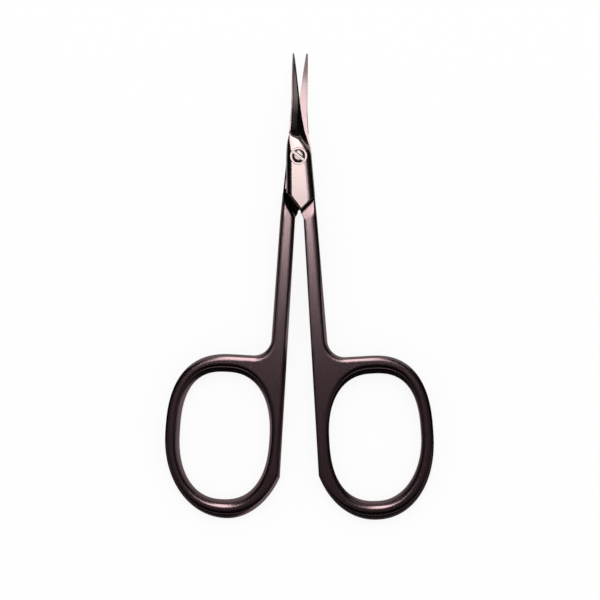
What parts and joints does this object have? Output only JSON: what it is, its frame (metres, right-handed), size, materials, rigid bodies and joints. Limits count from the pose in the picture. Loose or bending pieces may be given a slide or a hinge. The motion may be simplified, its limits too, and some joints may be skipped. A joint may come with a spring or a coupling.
{
  "type": "curved nail scissors",
  "caption": "Curved nail scissors with short bowed blades, a lap joint on a slotted pivot screw, slim shanks and large oval finger rings.",
  "frame": {"origin": "on the pivot axis, in the flat back face of the joint, where the screw's foot is flush", "axes": "+Z along the pivot axis towards the screw's head, +Y from the rings to the blade tips, +X to the right seen from the head"},
  "size_m": [0.0519, 0.0905, 0.0057],
  "materials": {
    "front_arm_metal": "satin dark rose-bronze coating",
    "rear_arm_metal": "satin dark rose-bronze coating",
    "screw_metal": "bright plain steel"
  },
  "bodies": {
    "rear_arm": {"rear_arm": "rear_arm_metal", "pivot_screw": "screw_metal"},
    "front_arm": {"front_arm": "front_arm_metal"}
  },
  "joints": [
    {"name": "pivot", "type": "hinge", "parent": "rear_arm", "child": "front_arm", "pos_m": [0, 0, 0], "axis": [0, 0, 1], "range_deg": [-6.7, 45]}
  ]
}
